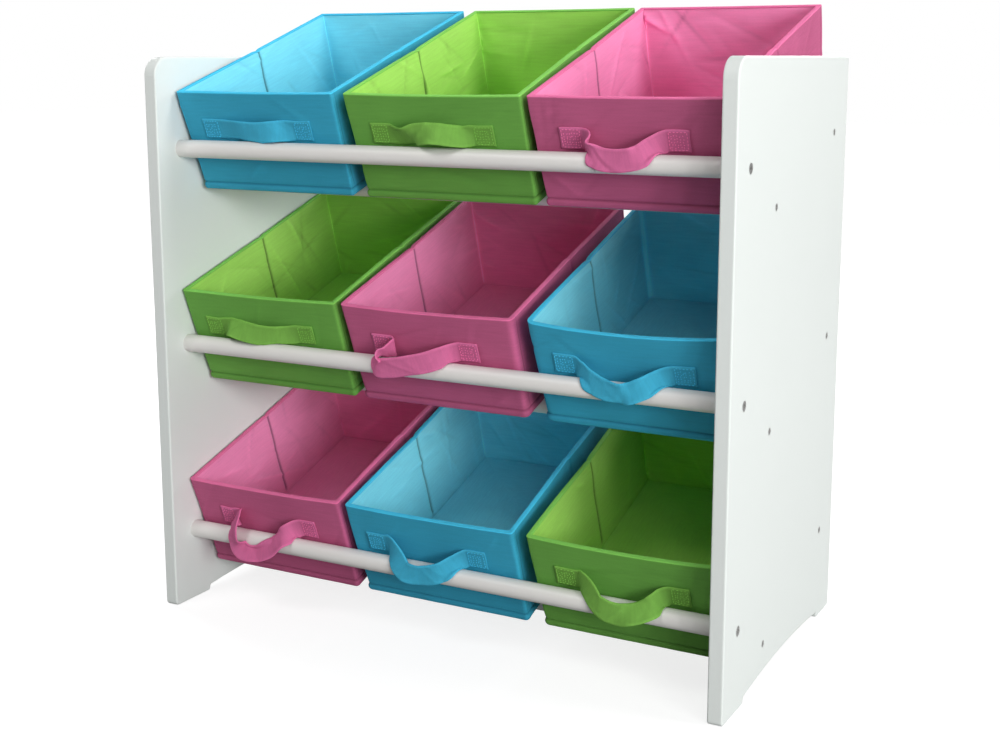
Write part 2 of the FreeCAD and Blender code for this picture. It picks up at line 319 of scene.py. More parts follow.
# %% Finishes of the rack
PANEL_WHITE = (0.79, 0.83, 0.805, 1)
PANEL_SHADE = (0.76, 0.80, 0.775, 1)
PANEL_CLOUDS = (9, 9, 9)
ROD_WHITE = (0.82, 0.80, 0.775, 1)
ROD_SHADE = (0.77, 0.75, 0.72, 1)
ROD_CLOUDS = (8, 120, 120)
SHADE_SHARE = 0.6
LACQUER_IOR = 1.45
DIMPLES = (260, 260, 260)
DIMPLE_DEPTH = 0.00006
STEEL = (0.80, 0.80, 0.78, 1)
BRASS = (0.62, 0.47, 0.22, 1)
METAL_PATCHES = (420, 420, 420)
DULL_TINT = 0.6
DULL_ROUGHNESS = 0.25
CARD_DARK = (0.33, 0.25, 0.17, 1)
CARD_LIGHT = (0.46, 0.38, 0.28, 1)
CARD_FIBRES = (900, 160, 900)
CARD_DEPTH = 0.00008


def lacquer(name, light, shade, cloud_scale, roughness):
    """Satin paint: two close whites in soft clouds, with fine dimples."""
    finish = Finish(name, Roughness=roughness, IOR=LACQUER_IOR)
    clouds = finish.noise(ON_OBJECT, cloud_scale, 3.0)
    finish.feed("Base Color", finish.mix(clouds * SHADE_SHARE, light, shade))
    finish.bump(finish.noise(ON_OBJECT, DIMPLES, 1.0), DIMPLE_DEPTH)
    return finish.material


def metal(name, colour, roughness):
    """Plated metal, a little duller in cloudy patches."""
    finish = Finish(name, Metallic=1.0)
    patches = finish.noise(ON_OBJECT, METAL_PATCHES)
    finish.feed("Base Color", finish.mix(patches, colour, tinted(colour, DULL_TINT)))
    finish.feed("Roughness", patches * DULL_ROUGHNESS + roughness)
    return finish.material


def cardboard(name):
    """Grey-brown card with fibres."""
    finish = Finish(name, Roughness=0.9)
    fibres = finish.noise(ON_OBJECT, CARD_FIBRES, 3.0)
    finish.feed("Base Color", finish.mix(fibres, CARD_DARK, CARD_LIGHT))
    finish.bump(fibres, CARD_DEPTH)
    return finish.material


panel_paint = lacquer("panel_paint", PANEL_WHITE, PANEL_SHADE, PANEL_CLOUDS, roughness=0.5)
rod_paint = lacquer("rod_paint", ROD_WHITE, ROD_SHADE, ROD_CLOUDS, roughness=0.38)
fastener_steel = metal("fastener_steel", STEEL, roughness=0.35)
insert_brass = metal("insert_brass", BRASS, roughness=0.35)
wall_card = cardboard("wall_card")

FINISH_OF = {"panel": panel_paint, "rod": rod_paint, "bolts": fastener_steel,
             "screws": fastener_steel, "inserts": insert_brass}
painted = 0
for node_name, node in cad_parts.items():
    last_word = node_name.rsplit("_", 1)[-1]
    if last_word in FINISH_OF:
        node.data.materials.clear()
        node.data.materials.append(FINISH_OF[last_word])
        painted += 1
print("painted", painted, "nodes of the rack")

# %% [markdown]
# ## Cloth
#
# The bins are sewn from non-woven cloth: fibres laid in a mat and pressed
# together at a fine grid of dots. From a step away that reads as faint streaks
# along the cloth, a slight cloudiness and a soft, dull sheen. The pattern is
# mapped on the cloth itself, in metres, so that it turns the corners with it.
# The straps are a heavier cloth with coarser dots, and the thread is lighter.
# Where a mesh carries a shading tone, the colour is multiplied by 1 + tone: that
# paints shade into seams, creases and fold hollows and highlights on rims,
# corners and fold ridges, and makes a strap's hemmed edges lighter and its sewn
# ends darker.

# %% Finishes of the bins
# The lining's colours are painted lighter and paler than the cover's, for the strong light and haze on the
# inner walls
COLOURS = {
    "blue": {"cover": (0.036, 0.36, 0.54, 1), "lining": (0.24, 0.77, 0.96, 1),
             "strap": (0.05, 0.43, 0.64, 1)},
    "green": {"cover": (0.136, 0.366, 0.060, 1), "lining": (0.39, 0.73, 0.13, 1),
              "strap": (0.19, 0.44, 0.07, 1)},
    "pink": {"cover": (0.505, 0.106, 0.232, 1), "lining": (0.92, 0.29, 0.53, 1),
             "strap": (0.70, 0.16, 0.35, 1)},
}
WEAVES = {  # metres from dot to dot, how deep the dots are pressed, and the sheen
    "cover": (0.0016, 0.35, 0.4),
    "lining": (0.0016, 0.35, 0.25),
    "strap": (0.0028, 0.8, 0.35),
    "thread": (0.0006, 0.4, 0.0),
}
THREAD_TINT = 1.35
SHEEN_TINT = 1.6
STREAKS = (35, 420, 1)
SHORT_FIBRES = (500, 2200, 1)
CLOUDS = (14, 14, 1)
DOT_JITTER = 0.35
DARK_TINT = 0.86
LIGHT_TINT = 1.12
FIBRE_HEIGHT = 0.4
CLOTH_DEPTH = 0.00035


def cloth(name, colour, dot_pitch, dot_depth, sheen):
    """Pressed fibres: long streaks, short fibres, and dots where the mat is bonded."""
    finish = Finish(name, Roughness=0.8, Sheen_Weight=sheen, Sheen_Roughness=0.5,
                    Sheen_Tint=tinted(colour, SHEEN_TINT), Specular_IOR_Level=0.3)
    streaks = finish.noise(ON_CLOTH, STREAKS, 3.0)
    fibres = finish.noise(ON_CLOTH, SHORT_FIBRES)
    clouds = finish.noise(ON_CLOTH, CLOUDS)
    dots = finish.node("ShaderNodeTexVoronoi", {"feature": "F1"},
                       {"Vector": finish.stretched(ON_CLOTH, (1 / dot_pitch,) * 3),
                        "Randomness": DOT_JITTER})
    pattern = streaks * 0.35 + fibres * 0.3 + clouds * 0.35
    contrast = finish.node("ShaderNodeMapRange", {}, {"Value": pattern, "From Min": 0.3, "From Max": 0.7})
    mixed = finish.mix(contrast, tinted(colour, DARK_TINT), tinted(colour, LIGHT_TINT))
    # The mesh's shading tone: painted highlight and shade on rims, corners, seams, creases and folds, and
    # the straps' lighter edges and darker sewn ends
    shading_tone = finish.node("ShaderNodeAttribute", {"attribute_name": "shading_tone"}, {}, "Fac")
    finish.feed("Base Color", finish.node("ShaderNodeVectorMath", {"operation": "SCALE"},
                                          {0: mixed, "Scale": shading_tone + 1.0}))
    finish.bump(dots * dot_depth + fibres * FIBRE_HEIGHT + streaks * FIBRE_HEIGHT, CLOTH_DEPTH)
    return finish.material


fabrics = {}
for shade_name, kinds in COLOURS.items():
    for kind, base_colour in kinds.items():
        fabrics[shade_name, kind] = cloth(f"{shade_name}_{kind}_cloth", base_colour, *WEAVES[kind])
    thread_colour = tinted(kinds["strap"], THREAD_TINT)
    fabrics[shade_name, "thread"] = cloth(f"{shade_name}_thread", thread_colour, *WEAVES["thread"])
print("mixed", len(fabrics), "cloths")

# %% [markdown]
# ## Once round a bin
#
# Seen from above, a bin is a rectangle with round corners. The usual way to
# draw one point by point would need its corners' places at every height. It is
# simpler to split each point into a core point on a sharp rectangle and a
# direction: the wall is the core point pushed out along the direction by the
# corner's radius. The core points stand closer together at the seams and at the
# crease half way along a side wall, where the cloth bends most.

# %% The outline that every layer shares
CORNER_STEPS = 6
CREASE_HALF = 0.024
SEAM_FROM = 0.94
across_places = np.linspace(-1, 1, 67)
crease_places = np.linspace(-CREASE_HALF, CREASE_HALF, 17)
seam_places = np.linspace(SEAM_FROM, 1.0, 13)
plain_places = np.linspace(0.05, 0.92, 33)
along_places = np.concatenate([-seam_places[::-1], -plain_places[::-1], crease_places,
                               plain_places, seam_places])


def outline():
    """Go round from the rear left corner by the left, front, right and rear walls.

    The rows are the core point across and along, from -1 to 1, and the direction
    that the wall faces. Each side is followed by its corner's arc.
    """
    one = np.ones_like
    sides = [(-one(along_places), -along_places), (across_places, -one(across_places)),
             (one(along_places), along_places), (-across_places, one(across_places))]
    stretches = []
    for index, (core_x, core_y) in enumerate(sides):
        facing = math.pi * (1 + index / 2)
        arc = facing + np.linspace(0, math.pi / 2, CORNER_STEPS + 1)[1:-1]
        core_x = np.append(core_x, np.full(arc.size, core_x[-1]))
        core_y = np.append(core_y, np.full(arc.size, core_y[-1]))
        turn = np.append(np.full(core_x.size - arc.size, facing), arc)
        stretches.append(np.stack([core_x, core_y, np.cos(turn), np.sin(turn)]))
    return np.concatenate(stretches, 1)


AROUND = outline()
print(AROUND.shape[1], "points go round a bin")

# %% [markdown]
# ## The outline at any height and depth
#
# The same core and direction serve for every height and every layer of cloth.
# Only the rectangle grows with the height, because the walls flare, and shrinks
# with the inset, which is the depth below the cover's face. The distance round
# is measured once, half way up, and serves as the place on the cloth.

# %% Rings, and the distance round
LEAST_RADIUS = 0.6
MEASURED_CORNER = 8.0


def layer(inset, height, corner):
    """Place the outline at each inset and height: rings down, points round, x y z."""
    inset = np.asarray(inset, float)[:, None]
    height = np.asarray(height, float)[:, None]
    rise = height / BIN_HEIGHT
    half_x = np.maximum(FLOOR_HALF_WIDTH + SIDE_FLARE * rise - inset, 0)
    half_y = np.maximum(FLOOR_LENGTH / 2 + END_FLARE * rise - inset, 0)
    half_y = np.where(half_x > 0, half_y, FLOOR_LENGTH / 2 - FLOOR_HALF_WIDTH)
    radius = np.minimum(np.maximum(corner - inset, LEAST_RADIUS), half_x)
    core_x, core_y, facing_x, facing_y = AROUND
    x = core_x * (half_x - radius) + facing_x * radius
    y = FLOOR_LENGTH / 2 + core_y * (half_y - radius) + facing_y * radius
    return np.stack([x, y, np.broadcast_to(height, x.shape)], -1)


def run_lengths(points, closing):
    """Add up the distances from point to point along a line, with the way back if it closes."""
    line = np.concatenate([points, points[:1]]) if closing else points
    return np.concatenate([[0.0], np.cumsum(np.linalg.norm(np.diff(line, axis=0), axis=1))])


ROUND = run_lengths(layer([0.0], [BIN_HEIGHT / 2], MEASURED_CORNER)[0], True)


def profile(*stretches):
    """Join stretches of insets and of heights; one number may stand for a whole stretch."""
    return np.concatenate([np.stack(np.broadcast_arrays(*stretch)) for stretch in stretches], 1)


def carry_round(inset, height, corner):
    """Carry a profile round: its points, its own length, and each point's place on the cloth."""
    onward = run_lengths(np.stack([inset, height], 1), False)
    return layer(inset, height, corner), onward, *np.meshgrid(ROUND[:-1], height)


print("once round is", round(ROUND[-1]), "mm of cloth")

# %% [markdown]
# ## How the boards settle
#
# A bin that has stood in a shop is not a drawing: its front bows, its rim sags
# between the corners, and the side walls lean in where their boards part. These
# are movements of the whole wall, so one function moves cover, card and lining
# together and nothing comes through. Each bin has its own amounts, as in the
# photograph.

# %% Bowed walls
FORMS = {  # mm at the rim: front out, front down, left in, right in, crease in, corner radius
    ("top", "left"): (1.0, 0.5, 1.0, 0.5, 1.0, 2.6),
    ("top", "centre"): (1.5, 0.8, 0.5, 1.5, 1.5, 2.6),
    ("top", "right"): (1.0, 0.5, 1.0, 1.5, 1.5, 2.6),
    ("middle", "left"): (1.5, 0.8, 1.0, 1.0, 1.0, 3.0),
    ("middle", "centre"): (2.0, 1.0, 1.0, 0.5, 1.5, 6.0),
    ("middle", "right"): (5.0, 3.0, -1.0, 1.0, 2.0, 9.0),
    ("bottom", "left"): (1.5, 0.8, 1.0, 1.0, 1.0, 4.0),
    ("bottom", "centre"): (1.5, 0.8, 0.5, 1.0, 1.5, 4.0),
    ("bottom", "right"): (2.5, 1.5, 0.5, 1.0, 2.0, 4.0),
}
CREASE_DIP = 1.0  # mm that the rim dips at the crease
BOARD_STEP = -0.45  # mm that one board of a side wall stands behind the other
# The rest are shares of the bin's half width or length
END_WALL = (0.8, 0.95)
SIDE_WALL = (0.8, 0.93)
STEP_REACH = 0.012
LEAN_REACH = 0.35
DIP_REACH = 0.025


def smooth_step(value, low, high):
    """Rise from 0 at low to 1 at high with level ends."""
    share = np.clip((value - low) / (high - low), 0, 1)
    return share * share * (3 - 2 * share)


def settle(points, form):
    """Move points as the boards have bowed: as the square of the height, and most midway.

    The rear wall sags half as much as the front.
    """
    front_out, front_down, left_in, right_in, crease_in, _ = form
    x, y, z = np.moveaxis(points, -1, 0)
    rise = np.clip(z / BIN_HEIGHT, 0, 1) ** 2
    across = x / (BIN_WIDTH / 2)
    along = (y - FLOOR_LENGTH / 2) / (BIN_LENGTH / 2)
    front = smooth_step(-along, *END_WALL) * np.clip(1 - across ** 2, 0, 1) * rise
    rear = smooth_step(along, *END_WALL) * np.clip(1 - across ** 2, 0, 1) * rise
    side = smooth_step(np.abs(across), *SIDE_WALL) * np.clip(1 - along ** 2, 0, 1) * rise
    step = BOARD_STEP * np.tanh(along / STEP_REACH)
    lean = (crease_in + step) * np.exp(-np.abs(along) / LEAN_REACH)
    inwards = np.where(x < 0, left_in, right_in) + lean
    dip = CREASE_DIP * np.exp(-(along / DIP_REACH) ** 2) * side
    return np.stack([x - np.sign(x) * side * inwards,
                     y - front_out * front + 0.5 * front_down * rear,
                     z - front_down * front - 0.5 * front_down * rear - dip], -1)


front_middle = np.array([[0.0, -END_FLARE, BIN_HEIGHT]])
moved = settle(front_middle, FORMS["middle", "right"]) - front_middle
print("the middle right bin's front rim moves by", *np.round(moved[0], 1), "mm")

# %% [markdown]
# ## Ripples and folds
#
# On top of that the cloth has soft ripples, made as a sum of waves in several
# directions, and a few pressed folds, each a low ridge that fades to its ends.
# A library's noise would do too, but waves and ridges of known length and height
# can be held within the cloth's thickness. All of it is drawn from seeds, so
# that every run gives the same bins.

# %% Waves and ridges on the cloth
WAVE_COUNT = 16
WAVE_GAIN = 2.2
FOLD_SLANT = (0.6, 0.7)  # middle and spread of the folds' angles, in radians
FOLD_REACH = (8, 50)
FOLD_BREADTH = 2.2
FOLD_SHADING_BREADTH = 1.3
RUMPLED = {("top", "right"): 2.0, ("middle", "left"): 1.8, ("top", "centre"): 1.3}


def ripples(u, v, seed, shortest, longest):
    """Add waves of seeded length, direction and phase; the sum stays within about -1 to 1."""
    draw = np.random.default_rng(seed)
    length = draw.uniform(shortest, longest, WAVE_COUNT)
    angle = draw.uniform(0, 2 * math.pi, WAVE_COUNT)
    phase = draw.uniform(0, 2 * math.pi, WAVE_COUNT)
    travel = u[..., None] * np.cos(angle) + v[..., None] * np.sin(angle)
    waves = np.sin(2 * math.pi * travel / length + phase) * length
    return waves.sum(-1) / length.sum() * WAVE_GAIN


def folds(u, v, seed, count, breadth_from=FOLD_BREADTH):
    """Add short ridges at seeded places: bell-shaped across, and fading along their length."""
    draw = np.random.default_rng(seed)
    centre_u = draw.uniform(0, ROUND[-1], count)
    centre_v = draw.uniform(0, BIN_HEIGHT, count)
    angle = draw.normal(*FOLD_SLANT, count)
    reach = draw.uniform(*FOLD_REACH, count)
    breadth = draw.uniform(breadth_from, 2 * breadth_from, count)
    height = draw.uniform(-1, 1, count)
    from_u = u[..., None] - centre_u
    from_v = v[..., None] - centre_v
    onward = from_u * np.cos(angle) + from_v * np.sin(angle)
    aside = from_v * np.cos(angle) - from_u * np.sin(angle)
    return (height * np.exp(-(aside / breadth) ** 2 - (onward / reach) ** 2)).sum(-1)


def held_below(amount, most):
    """Leave what is below 0, and bend what is above it over so that it never passes the most."""
    return np.where(amount > 0, most * np.tanh(amount / most), amount)


def seed_of(row, column, layer_number):
    """Give every layer of every bin its own seed."""
    return 100 * ROWS.index(row) + 10 * COLUMNS.index(column) + layer_number


far_out = held_below(np.array([0.1, 1.0, 10.0]), 0.8)
print("held below 0.8 mm, heights of 0.1, 1 and 10 mm become", *np.round(far_out, 2))

# %% [markdown]
# ## Seams and creases
#
# The four corners have upright seams, and the stitching shows on the side walls
# just beside them. Half way along each side wall runs the crease where a bin
# folds flat. Each is a bell of the distance round, which can raise the cloth,
# sink it, or paint highlight and shade into its colour.

# %% Where the seams and creases run
SEAM_FROM_CORNER = 9.5
CORNERS = ROUND[:-1][(np.abs(AROUND[2]) > 0.7) & (np.abs(AROUND[3]) > 0.7)]
CREASES = ROUND[:-1][(AROUND[1] == 0) & (np.abs(AROUND[0]) == 1)]
SIDE_SEAMS = CORNERS + SEAM_FROM_CORNER * np.array([-1, 1, -1, 1])


def near(places, width):
    """Give a bell of that width round each of the places on the way round."""
    offsets = ROUND[:-1, None] - places
    offsets = (offsets + ROUND[-1] / 2) % ROUND[-1] - ROUND[-1] / 2
    return np.exp(-(offsets / width) ** 2).sum(1)


def push_out(points, amount):
    """Move each point the way its wall faces."""
    moved_points = points.copy()
    moved_points[..., 0] += AROUND[2] * amount
    moved_points[..., 1] += AROUND[3] * amount
    return moved_points


print("corners at", *np.round(CORNERS), "and creases at", *np.round(CREASES), "mm round")

# %% [markdown]
# ## The cover's profile
#
# The cover is the cloth that shows from outside. On the real bin its floor is
# sewn to the walls with the seam left outside, which gives the low welt along
# the bottom edge, and the upper edge is turned in over the boards. One profile
# from the middle of the floor to the middle of the floor again describes all of
# that: each stretch of it is a pair of insets and heights.

# %% The section of a cover
CLOTH = 1.5  # thickness of the cover
WALL = 4.5  # from the cover's face to the lining's
WELT = 8.0
WELT_OUT = 1.0
SEAM_IN = 0.9
RIM_WIDTH = 5.2
RIM_ROUND = 0.8
LIP = 1.5
MIDDLE = FLOOR_HALF_WIDTH + 2 * SIDE_FLARE
FLOOR_RINGS = 12
WALL_RINGS = 38
RIM_HOLD = 0.6  # share of the ripples that the turned-in edge takes away
HOLD_BETWEEN = (95, 110)


def cover_profile():
    """Inset and height down the profile, with the share of ripples that each ring takes."""
    turn = np.linspace(0, math.pi, 9)
    quarter = np.linspace(0, math.pi / 2, 5)
    rim = BIN_HEIGHT - RIM_ROUND
    under = BIN_HEIGHT - LIP
    inset, height = profile(
        (np.linspace(MIDDLE, 6, FLOOR_RINGS), 0.0),
        (SEAM_IN - (SEAM_IN + WELT_OUT) * np.sin(turn), WELT / 2 * (1 - np.cos(turn))),
        ([SEAM_IN, 0.35], [WELT + 0.5, WELT + 1.2]),
        (0.0, np.linspace(WELT + 2.5, rim - 0.6, WALL_RINGS)),
        (RIM_ROUND * (1 - np.cos(quarter)), rim + RIM_ROUND * np.sin(quarter)),
        ([RIM_WIDTH / 2], BIN_HEIGHT),
        (RIM_WIDTH - RIM_ROUND * (1 - np.sin(quarter)), rim + RIM_ROUND * np.cos(quarter)),
        ([RIM_WIDTH - 0.2, RIM_WIDTH - 0.5, CLOTH + 0.4], [under + 0.15, under, under]),
        (CLOTH, [under - 0.4, 75, 40, 8]),
        ([CLOTH + 0.5, 8, MIDDLE], CLOTH))
    share = smooth_step(height, WELT, WELT + 10) * (1 - RIM_HOLD * smooth_step(height, *HOLD_BETWEEN))
    share = np.where(inset > 1, 0, share)
    return inset, height, share


print("a cover's section is", round(run_lengths(np.stack(cover_profile()[:2], 1), False)[-1]), "mm long")

# %% [markdown]
# ## Nine covers
#
# The outline carries the profile round. Ripples, folds and seams push the cloth
# out or let it sink, and the card behind it stops what sinks. The same bells and
# folds also paint light and shade into the colour: a painted highlight on the
# turned-in rim, the corners and the folds' ridges, and painted shade in the
# folds' hollows, along the hem and in the seams beside the corners.

# %% Make the covers
COVER_WAVES = (25, 120)
WELT_WAVES = (12, 40)
COVER_FOLDS = 60
COVER_SINKS = 0.8  # mm before the card stops it
# Painted light in the cover's colour, as shares of it: a painted highlight on the rim and the corners,
# painted shade along the hem and the side seams, and painted highlight and shade on the folds
RIM_HIGHLIGHT = 0.75
HEM_SHADE = -0.35
CORNER_HIGHLIGHT = 0.22
SEAM_SHADE = -0.4
FOLD_SHADING = 0.1


def make_cover(row, column):
    """Give the cover's mesh: the profile carried round, with seams, ripples and folds."""
    form = FORMS[row, column]
    inset, height, share = cover_profile()
    points, onward, u, v = carry_round(inset, height, form[-1])
    seed = seed_of(row, column, 1)
    soft = 0.7 * ripples(u, v, seed, *COVER_WAVES) + 1.1 * folds(u, v, seed, COVER_FOLDS)
    seams = 0.5 * near(CORNERS, 2.5) - 0.6 * near(SIDE_SEAMS, 0.9)
    crease = -0.7 * near(CREASES, 1.6)
    puff = share[:, None] * -held_below(-(soft + seams + crease), COVER_SINKS)
    welt = np.exp(-((height - WELT / 2) / (WELT / 2)) ** 2) * (inset < 1)
    gathers = ripples(u, v, seed_of(row, column, 6), *WELT_WAVES)
    puff += welt[:, None] * (0.8 * near(CORNERS, 6) + 0.3 * gathers)
    # Painted highlight on the turned-in rim's top face
    rim = ((height > BIN_HEIGHT - 1.2) & (inset < RIM_WIDTH + 0.1)) * RIM_HIGHLIGHT
    # Painted shade in the groove of the hem just above the welt
    hem_shade = HEM_SHADE * np.exp(-((height - WELT - 0.2) / 1.0) ** 2) * (inset < 1)
    # Painted highlight on the folds' ridges and painted shade in their hollows
    fold_shading = FOLD_SHADING * folds(u, v, seed, COVER_FOLDS, FOLD_SHADING_BREADTH)
    # Painted highlight along the corners and painted shade in the side seams' grooves
    shading_tone = share[:, None] * (CORNER_HIGHLIGHT * near(CORNERS, 4) + SEAM_SHADE * near(SIDE_SEAMS, 0.8) + fold_shading)
    shading_tone += (rim + hem_shade)[:, None]
    points = settle(push_out(points, puff), form)
    return tube_mesh("cover", into_rack(points, row, column)[None], (ROUND, onward), shading_tone)


BIN_COLOURS = {"top": ("blue", "green", "pink"), "middle": ("green", "pink", "blue"),
               "bottom": ("pink", "blue", "green")}
BINS = [(f"{row}_{column}_bin", row, column, colour)
        for row in ROWS for column, colour in zip(COLUMNS, BIN_COLOURS[row])]
for bin_name, row_name, column_name, shade_name in BINS:
    cover = add_piece(f"{bin_name}_sewn_cover", make_cover(row_name, column_name),
                      fabrics[shade_name, "cover"], bin_name, [f"{bin_name}_cover"])
print("nine covers, each", len(cover.data.polygons), "faces")

# %% [markdown]
# ## The lining's profile
#
# Inside, a second cloth hangs over the boards and lies on the floor. Its profile
# runs from the middle of the floor out and up the wall, over the boards' upper
# edge, and back down behind itself, so that it has a thickness too.

# %% The section of a lining
LINING = 1.0
FILLET = 2.5
FLOOR_TOP = CLOTH + LINING
LINING_FLOOR_RINGS = 10
LINING_WALL_RINGS = 48
LINING_HOLD = 0.7
LINING_HOLD_FROM = 98


def lining_profile():
    """Inset and height, the share of ripples at each ring, and which rings are the wall's face."""
    turn = np.linspace(0, math.pi / 2, 5)
    top = BIN_HEIGHT - LIP - 0.1
    behind = WALL - LINING + 0.05
    inset, height = profile(
        (np.linspace(MIDDLE, WALL + FILLET + 3, LINING_FLOOR_RINGS), FLOOR_TOP),
        (WALL + FILLET * (1 - np.sin(turn)), FLOOR_TOP + FILLET * (1 - np.cos(turn))),
        (WALL, np.linspace(FLOOR_TOP + FILLET + 1, top - 0.6, LINING_WALL_RINGS)),
        ([WALL - 0.15, behind + 0.1], top),
        (behind, [top - 0.6, 75, 40, 5]),
        ([behind + 1, 12, MIDDLE], CLOTH + 0.1))
    held = 1 - LINING_HOLD * smooth_step(height, LINING_HOLD_FROM, top)
    share = smooth_step(height, FLOOR_TOP, FLOOR_TOP + 12) * held
    visible = np.arange(inset.size) < LINING_FLOOR_RINGS + turn.size + LINING_WALL_RINGS
    return inset, height, share * visible, smooth_step(height, 4, 10) * (inset < WALL + 0.1)


print("a lining's section has", lining_profile()[0].size, "rings")

# %% [markdown]
# ## Nine linings
#
# The side walls are stiffened by two boards each, so that an empty bin folds
# flat, and the lining is stitched down into the gap between them: that is the
# upright line midway along, darkened by painted shade. At the corners its seams
# stand up as thin ridges with a painted highlight, and the folds have painted
# highlight on their ridges and painted shade in their hollows. Three linings in
# the photograph are more rumpled than the rest.

# %% Make the linings
LINING_WAVES = (20, 90)
LINING_FOLDS = 90
LINING_SINKS = 0.7  # mm before the card stops it
# Painted light in the lining's colour: a painted highlight on the corner ridges, painted shade in the
# creases, and painted highlight and shade on the folds
LINING_CORNER_HIGHLIGHT = 0.5
CREASE_SHADE = -0.7
LINING_FOLD_SHADING = -0.12


def make_lining(row, column):
    """Give the lining's mesh, with the stitched creases, corner ridges and its folds."""
    form = FORMS[row, column]
    inset, height, share, wall_share = lining_profile()
    points, onward, u, v = carry_round(inset, height, form[-1])
    seed = seed_of(row, column, 2)
    rumpled = RUMPLED.get((row, column), 1.0)
    soft = 0.8 * ripples(u, v, seed, *LINING_WAVES) + 2 * rumpled * folds(u, v, seed, LINING_FOLDS)
    ridges = -0.9 * near(CORNERS, 1.2)
    crease = 1.75 * near(CREASES, 1.1) - 0.5 * near(CREASES, 5.0)
    puff = share[:, None] * (held_below(soft, LINING_SINKS) + ridges) + wall_share[:, None] * crease
    # Painted shade in the folds' hollows and painted highlight on their ridges
    fold_shading = LINING_FOLD_SHADING * rumpled * folds(u, v, seed, LINING_FOLDS, FOLD_SHADING_BREADTH)
    # Painted highlight on the corner ridges and painted shade in the creases' grooves
    corner_and_crease_shading = LINING_CORNER_HIGHLIGHT * near(CORNERS, 5) + CREASE_SHADE * near(CREASES, 1.9)
    points = settle(push_out(points, puff), form)
    return tube_mesh("lining", into_rack(points, row, column)[None], (ROUND, onward),
                     wall_share[:, None] * (corner_and_crease_shading + fold_shading))


for bin_name, row_name, column_name, shade_name in BINS:
    lining = add_piece(f"{bin_name}_sewn_lining", make_lining(row_name, column_name),
                       fabrics[shade_name, "lining"], bin_name, [f"{bin_name}_lining"])
print("nine linings, each", len(lining.data.polygons), "faces")

# %% [markdown]
# ## The boards in the walls
#
# Between cover and lining stand six boards, one in each end wall and two in
# each side wall. They don't show, but they are what keeps the bin square, and
# they bow with their walls. Each is a section, up one face and down the other,
# that is carried along its wall.

# %% Shape the wall boards
BOARD_IN = 1.65
BOARD_OUT = 3.35
BOARD_LOW = 2.2
BOARD_HIGH = 108.0
BOARD_GAP = 3.0
BOARD_CORNER = 9.0
BOARD_RINGS = 24


def make_wall_boards(row, column):
    """Give six thin plates: a section up one face and down the other, carried along each wall."""
    form = FORMS[row, column]
    half_fold = BOARD_GAP / 2
    flat = FLOOR_HALF_WIDTH - BOARD_CORNER
    runs = [(-flat, flat, "front"), (-flat, flat, "rear")]
    for side in ("left", "right"):
        runs.append((BOARD_CORNER, FLOOR_LENGTH / 2 - half_fold, side))
        runs.append((FLOOR_LENGTH / 2 + half_fold, FLOOR_LENGTH - BOARD_CORNER, side))
    upwards = np.linspace(BOARD_LOW, BOARD_HIGH, 12)
    inset = np.repeat([BOARD_IN, BOARD_OUT], upwards.size)
    height = np.concatenate([upwards, upwards[::-1]])
    rise = height / BIN_HEIGHT
    plates = []
    for start, end, wall in runs:
        travel = np.linspace(start, end, BOARD_RINGS)[:, None]
        if wall in ("front", "rear"):
            reach = FLOOR_LENGTH / 2 + END_FLARE * rise - inset
            place = (travel, FLOOR_LENGTH / 2 + (reach if wall == "rear" else -reach), height)
        else:
            reach = FLOOR_HALF_WIDTH + SIDE_FLARE * rise - inset
            place = (reach if wall == "right" else -reach, travel, height)
        plates.append(settle(np.stack(np.broadcast_arrays(*place), -1), form))
    return tube_mesh("wall_boards", into_rack(np.stack(plates), row, column))


print("each board is", round(BOARD_OUT - BOARD_IN, 2), "mm thick and", BOARD_HIGH - BOARD_LOW, "mm high")

# %% [markdown]
# ## The loose floor
#
# A loose board in the same cloth lies on the floor, a little smaller than the
# floor, so that its edge draws a line all round. Its upper face has a slight
# wave, as covered card does. The rings on that face lie closer together at its
# edge, where they join the rounded side.

# %% Make the boards in the walls and on the floor
LOOSE_GAP = 1.3
LOOSE_THICKNESS = 2.7
LOOSE_CORNER = 2.0
LOOSE_RINGS = np.array([3, 5, 8, 14, 24, 36, 50, 64, 78])
LOOSE_WAVE = 0.35
LOOSE_WAVES = (40, 160)


def make_base_board(row, column):
    """Give the loose board: two concentric fields of rings joined by a rounded edge."""
    turn = np.linspace(-math.pi / 2, math.pi / 2, 9)
    edge = WALL + LOOSE_GAP
    half = LOOSE_THICKNESS / 2
    low = FLOOR_TOP + 0.1
    inset, height = profile(
        ([MIDDLE, edge + 9], low),
        (edge + half * (1 - np.cos(turn)), low + half + half * np.sin(turn)),
        ([*(edge + LOOSE_RINGS), MIDDLE], low + 2 * half))
    points, onward, _, _ = carry_round(inset, height, FORMS[row, column][-1] + LOOSE_CORNER)
    top = (np.arange(inset.size) > 2 + turn.size // 2)[:, None]
    wave = ripples(points[..., 0], points[..., 1], seed_of(row, column, 3), *LOOSE_WAVES)
    points[..., 2] += np.where(top, LOOSE_WAVE * wave, 0.0)
    return tube_mesh("base_board", into_rack(points, row, column)[None], (ROUND, onward))


for bin_name, row_name, column_name, shade_name in BINS:
    add_piece(f"{bin_name}_card_walls", make_wall_boards(row_name, column_name), wall_card, bin_name,
              [f"{bin_name}_wall_boards"])
    board = add_piece(f"{bin_name}_loose_floor", make_base_board(row_name, column_name),
                      fabrics[shade_name, "lining"], bin_name, [f"{bin_name}_base_board"])
print("54 wall boards and nine floors of", len(board.data.polygons), "faces")

# %% [markdown]
# ## The handles
#
# Each handle is a strap sewn to the front wall by its two ends and left slack
# between them, so no two hang alike: some lie over the rod, some fall in front
# of it. A strap keeps its width wherever it goes. So each is told by a line of
# its middle and, at the same stations, the way its width points. The sewn ends
# are flat on the wall, so only their edges across need telling.

# %% The way of each strap
STRAP_WIDTH = 22.0
STRAP_HALF = 0.8  # half its thickness
SEWN_UP = 72.5
SEWN_OUT = 0.9
